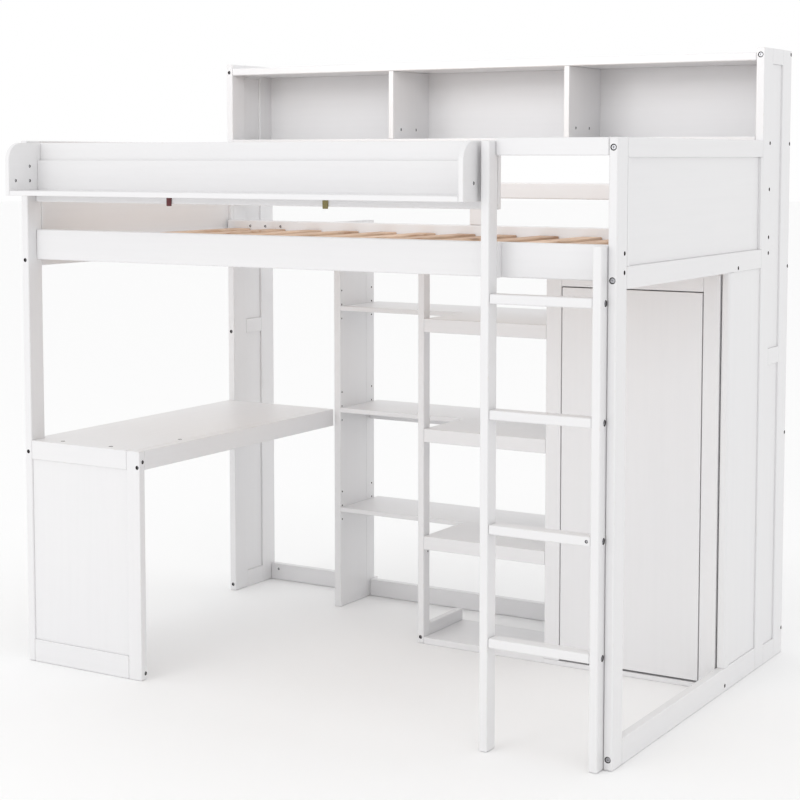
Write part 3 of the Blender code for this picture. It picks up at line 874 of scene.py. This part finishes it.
class LOFTBED_OT_bookcase(bpy.types.Operator):
    """Sides, boards and box of the bookcase along the back"""

    bl_idname = "loftbed.bookcase"
    bl_label = "Bookcase"

    def execute(self, context):
        side = [("dowel", 0.060, z) for z in STRIP_DOWELS] + [("dowel", 0.240, z) for z in BACK_DOWELS]
        frame_and_panel("right_column", 1, side, [("bolt", 1.885), ("dowel", 0.962)])
        frame_and_panel("left_column", -1, side, [("socket", z) for z in (1.878, 0.950, 0.022)])
        thin = finish().panel_edge_radius
        node_board("top_board", "x", 0.004)
        node_board("box_floor", "x")
        node_board("box_back_panel", "x", SHEET_EDGE)
        for node in ("box_divider_1", "box_divider_2"):
            low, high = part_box(node)
            marks = [("screw", (high.x, low.y + y, low.z + 0.031), RIGHT) for y in (0.052, 0.153)]
            node_board(node, "z", thin, fittings=marks)
        low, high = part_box("inner_upright")
        joint_y = low.y + UPRIGHT_JOINT
        pins = []
        for i in range(3):
            shelf_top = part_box("back_shelf_%d" % (i + 1))[1].z
            for step in (-0.044, 0.005, 0.054):
                for y in (0.010, 0.205):
                    pins.append(("pin", (high.x, low.y + y, shelf_top + step), RIGHT))
        board("inner_upright_front", low, (high.x, joint_y - 0.0001, high.z), "z", 0.0018,
              replaced=("inner_upright",), fittings=[pin for pin in pins if pin[1][1] < joint_y])
        board("inner_upright_rear", (low.x, joint_y + 0.0001, low.z), high, "z", 0.0018,
              replaced=("inner_upright",), fittings=[pin for pin in pins if pin[1][1] > joint_y])
        low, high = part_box("bookcase_floor_rail_left")
        node_board("bookcase_floor_rail_left", "x",
                   fittings=[("screw", (low.x + 0.034, low.y, 0.040), FRONT)])
        node_board("bookcase_floor_rail_right", "x")
        node_board("back_shelf_rail", "x", 0.0020)
        for i in range(3):
            node_board("back_shelf_%d" % (i + 1), "x", thin)
        node_board("rear_guard_board", "x", 0.004)
        node_board("rear_guard_block", "z")
        return {"FINISHED"}


# ------------------------------------------------------------------ shelves and wardrobe
class LOFTBED_OT_tower(bpy.types.Operator):
    """Shelves between the post and the wardrobe"""

    bl_idname = "loftbed.tower"
    bl_label = "Tower shelves"

    def execute(self, context):
        low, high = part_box("shelf_post")
        fits = [("socket", ((low.x + high.x) / 2, low.y, 0.021), FRONT)]
        fits += [("pin", (high.x, low.y + 0.028, z), RIGHT) for z in (0.300, 0.325, 0.350)]
        node_board("shelf_post", "z", fittings=fits)
        for i in range(3):
            node = "tower_shelf_%d" % (i + 1)
            low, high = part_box(node)
            board(node + "_board", (low.x, low.y + SHELF_LIP + SEAM, high.z - SHELF_BOARD), high, "x",
                  0.0012, replaced=(node,))
            board(node + "_lip", low, (high.x, low.y + SHELF_LIP, high.z), "x", 0.0025, replaced=(node,))
        node_board("tower_floor_board", "x", 0.002)
        node_board("shelf_floor_rail", "y")
        return {"FINISHED"}


class LOFTBED_OT_wardrobe(bpy.types.Operator):
    """Wardrobe body and clothes rod"""

    bl_idname = "loftbed.wardrobe"
    bl_label = "Wardrobe"

    def execute(self, context):
        thin = finish().panel_edge_radius
        for node in ("wardrobe_left_side", "wardrobe_right_side", "wardrobe_back"):
            node_board(node, "z", thin)
        for node in ("wardrobe_top", "wardrobe_floor"):
            node_board(node, "x", thin)
        low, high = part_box("wardrobe_face_frame")
        radius = 0.0022
        owner = ("wardrobe_face_frame",)
        board("wardrobe_face_left_stile", low, (low.x + FACE_STILE, high.y, high.z), "z", radius,
              replaced=owner)
        board("wardrobe_face_right_stile", (high.x - FACE_STILE, low.y, low.z), high, "z", radius,
              replaced=owner)
        board("wardrobe_face_header", (low.x + FACE_STILE + SEAM, low.y, HEADER_LOW),
              (high.x - FACE_STILE - SEAM, high.y, high.z), "x", radius, replaced=owner)
        low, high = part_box("wardrobe_rod")
        mid = (low + high) / 2
        radius = (high.z - low.z) / 2
        reach = (high.x - low.x) / 2
        bm = bmesh.new()
        turned_disc(bm, mid, (1, 0, 0), [(radius * 0.8, -reach), (radius, -reach + 0.002),
                                         (radius, reach - 0.002), (radius * 0.8, reach)], 32)
        for side in (-1, 1):
            cup = mid + Vector((side * (reach - 0.004), 0, 0))
            turned_disc(bm, cup, (side, 0, 0), [(radius + 0.0005, -0.008), (radius + 0.003, -0.008),
                                                (radius + 0.003, 0.0015), (radius + 0.009, 0.002),
                                                (radius + 0.009, 0.0038), (0.0, 0.0038)], 32)
        bmesh.ops.recalc_face_normals(bm, faces=bm.faces)
        object_from("clothes_rod", bm, [plated_steel()], FRAME_BODY, ("wardrobe_rod",))
        return {"FINISHED"}


class LOFTBED_OT_door(bpy.types.Operator):
    """Wardrobe door and its concealed hinges"""

    bl_idname = "loftbed.door"
    bl_label = "Wardrobe door"

    def execute(self, context):
        node_board("wardrobe_door", "z", 0.0018, body=DOOR_BODY)
        for i in (1, 2):
            node = "door_hinge_%d" % i
            low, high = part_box(node)
            mid = (low + high) / 2
            bm = bmesh.new()
            flange = Vector((0.0225, 0.0, 0.030))
            add_box(bm, (mid.x - flange.x, low.y, mid.z - flange.z),
                    (mid.x + flange.x, low.y + 0.0018, mid.z + flange.z), 0.0006, 2)
            turned_disc(bm, (mid.x, low.y + 0.0018, mid.z), (0, 1, 0),
                        [(0.0170, -0.0005), (0.0170, 0.0012), (0.0155, 0.0018), (0.0, 0.0018)], 28)
            add_box(bm, (mid.x - 0.008, low.y + 0.0030, mid.z - 0.0095), (high.x, high.y, mid.z + 0.0095),
                    0.0015, 2)
            for dz in (-0.022, 0.022):
                turned_disc(bm, (mid.x, low.y + 0.0016, mid.z + dz), (0, 1, 0),
                            [(0.0038, 0.0), (0.0036, 0.0012), (0.0020, 0.0020), (0.0008, 0.0021),
                             (0.0006, 0.0010), (0.0, 0.0009)], 14)
            object_from(node + "_cup", bm, [plated_steel()], DOOR_BODY, (node,))
        return {"FINISHED"}


class LOFTBED_OT_tabs(bpy.types.Operator):
    """Two small coloured plastic tabs under the tray"""

    bl_idname = "loftbed.tabs"
    bl_label = "Coloured tabs"

    def execute(self, context):
        low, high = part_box("front_guard_board")
        colours = (("tab_maroon", -0.45, (0.12, 0.018, 0.022)), ("tab_olive", 0.10, (0.22, 0.18, 0.06)))
        for name, x, colour in colours:
            bm = bmesh.new()
            add_box(bm, (x - 0.009, low.y - 0.0045, low.z - 0.006),
                    (x + 0.009, low.y - 0.0005, low.z + 0.020), 0.0018, 4)
            object_from(name, bm, [moulded_plastic(name + " plastic", colour)], FRAME_BODY)
        return {"FINISHED"}


# ------------------------------------------------------------------ studio
def area_light(name, place, aim, size, power):
    data = bpy.data.lights.new(name, "AREA")
    data.shape = "RECTANGLE"
    data.size, data.size_y = size
    data.energy = power
    obj = bpy.data.objects.new(name, data)
    bpy.context.scene.collection.objects.link(obj)
    obj.location = place
    obj.rotation_euler = (Vector(aim) - Vector(place)).to_track_quat("-Z", "Y").to_euler()
    return obj


class LOFTBED_OT_studio(bpy.types.Operator):
    """Pale floor, soft white studio and the camera"""

    bl_idname = "loftbed.studio"
    bl_label = "Studio"

    def execute(self, context):
        scene = context.scene
        settings = scene.loft_bed_studio
        mat, tree, shader = start_material("Studio floor")
        shader.inputs["Base Color"].default_value = (*settings.floor_colour, 1.0)
        shader.inputs["Roughness"].default_value = 0.9
        bm = bmesh.new()
        bmesh.ops.create_circle(bm, cap_ends=True, segments=96, radius=60.0)
        mesh = bpy.data.meshes.new("studio_floor")
        bm.to_mesh(mesh)
        bm.free()
        mesh.materials.append(mat)
        floor = bpy.data.objects.new("studio_floor", mesh)
        scene.collection.objects.link(floor)
        floor.location = (0, 0, -0.0006)
        world = bpy.data.worlds.new("White studio")
        scene.world = world
        world.use_nodes = True
        back = world.node_tree.nodes["Background"]
        back.inputs["Color"].default_value = (1.0, 1.0, 1.0, 1.0)
        back.inputs["Strength"].default_value = settings.ambient
        area_light("key", (-1.6, -6.2, 2.6), (0.0, 0.0, 0.95), (3.0, 2.4), 53.0)
        area_light("right_fill", (6.0, -2.2, 3.6), (0.6, 0.0, 1.5), (2.6, 2.4), 3.0)
        shelf_glow = area_light("box_fill", (0.0, -0.35, 2.15), (0.0, 0.70, 1.74), (1.8, 0.3), 4.2)
        shelf_glow.visible_camera = False
        data = bpy.data.cameras.new("camera")
        data.lens = settings.lens
        data.sensor_width = 36.0
        data.shift_y = -0.12
        data.clip_end = 200.0
        camera = bpy.data.objects.new("camera", data)
        scene.collection.objects.link(camera)
        camera.location = (2.835, -4.7205, 1.577)
        camera.rotation_euler = (math.radians(90 - 4.703), 0.0, math.radians(30.981))
        scene.camera = camera
        scene.view_settings.view_transform = "Standard"
        return {"FINISHED"}


# ------------------------------------------------------------------ panel and registration
OPERATORS = (LOFTBED_OT_posts, LOFTBED_OT_end_guards, LOFTBED_OT_right_end, LOFTBED_OT_side_rails,
             LOFTBED_OT_slats, LOFTBED_OT_guard_tray, LOFTBED_OT_ladder, LOFTBED_OT_desk,
             LOFTBED_OT_bookcase, LOFTBED_OT_tower, LOFTBED_OT_wardrobe, LOFTBED_OT_door,
             LOFTBED_OT_tabs, LOFTBED_OT_studio)


class LOFTBED_PT_panel(bpy.types.Panel):
    """Lists the finish settings and the pieces"""

    bl_idname = "LOFTBED_PT_panel"
    bl_label = "Loft bed"
    bl_space_type = "VIEW_3D"
    bl_region_type = "UI"
    bl_category = "Loft bed"

    def draw(self, context):
        for group in (context.scene.loft_bed_finish, context.scene.loft_bed_studio):
            box = self.layout.box()
            for name in group.bl_rna.properties.keys():
                if name not in ("rna_type", "name"):
                    box.prop(group, name)
        for operator in OPERATORS:
            self.layout.operator(operator.bl_idname)


CLASSES = (LoftBedFinish, LoftBedStudio) + OPERATORS + (LOFTBED_PT_panel,)


def register():
    for item in CLASSES:
        bpy.utils.register_class(item)
    bpy.types.Scene.loft_bed_finish = PointerProperty(type=LoftBedFinish)
    bpy.types.Scene.loft_bed_studio = PointerProperty(type=LoftBedStudio)


def unregister():
    del bpy.types.Scene.loft_bed_studio
    del bpy.types.Scene.loft_bed_finish
    for item in reversed(CLASSES):
        bpy.utils.unregister_class(item)


def main():
    register()
    for operator in OPERATORS:
        group, name = operator.bl_idname.split(".")
        getattr(getattr(bpy.ops, group), name)()


if __name__ == "__main__":
    main()
